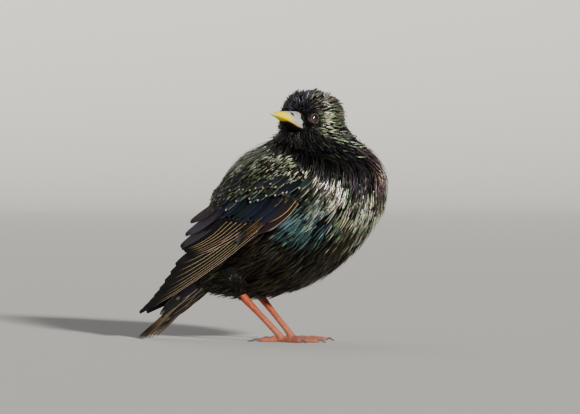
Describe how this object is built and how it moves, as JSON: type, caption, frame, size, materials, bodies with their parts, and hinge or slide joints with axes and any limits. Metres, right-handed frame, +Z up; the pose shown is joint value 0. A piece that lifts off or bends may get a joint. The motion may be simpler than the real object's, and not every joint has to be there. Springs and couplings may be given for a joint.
{
  "type": "starling",
  "caption": "Life-size starling in glossy black breeding plumage, standing with its head turned over one wing and its folded wings along its back.",
  "frame": {"origin": "on the floor under the middle of the bounding box", "axes": "+X is forward along the body, +Y is the bird's left, +Z is up; the soles of the feet lie on z = 0"},
  "size_m": [0.1444, 0.0825, 0.1371],
  "materials": {
    "plumage": "glossy black feathers with a green and purple sheen",
    "throat": "long pointed feathers, black with a purple sheen",
    "flight": "dark brown-black vanes with narrow buff edges",
    "bill": "smooth yellow horn, bluish white at the base",
    "leg": "scaled orange-pink skin",
    "claw": "dark grey-brown horn",
    "eye": "dark brown, wet"
  },
  "bodies": {
    "root": {"bill_lower": "bill", "bill_upper": "bill", "claw_hind_left": "claw", "claw_hind_right": "claw", "claw_inner_left": "claw", "claw_inner_right": "claw", "claw_middle_left": "claw", "claw_middle_right": "claw", "claw_outer_left": "claw", "claw_outer_right": "claw", "eye_left": "eye", "eye_right": "eye", "foot_left": "leg", "foot_right": "leg", "head": "plumage", "neck": "throat", "rump": "plumage", "tail": "flight", "tarsus_left": "leg", "tarsus_right": "leg", "thigh_left": "plumage", "thigh_right": "plumage", "torso": "plumage", "wing_left": "flight", "wing_right": "flight"}
  },
  "joints": []
}
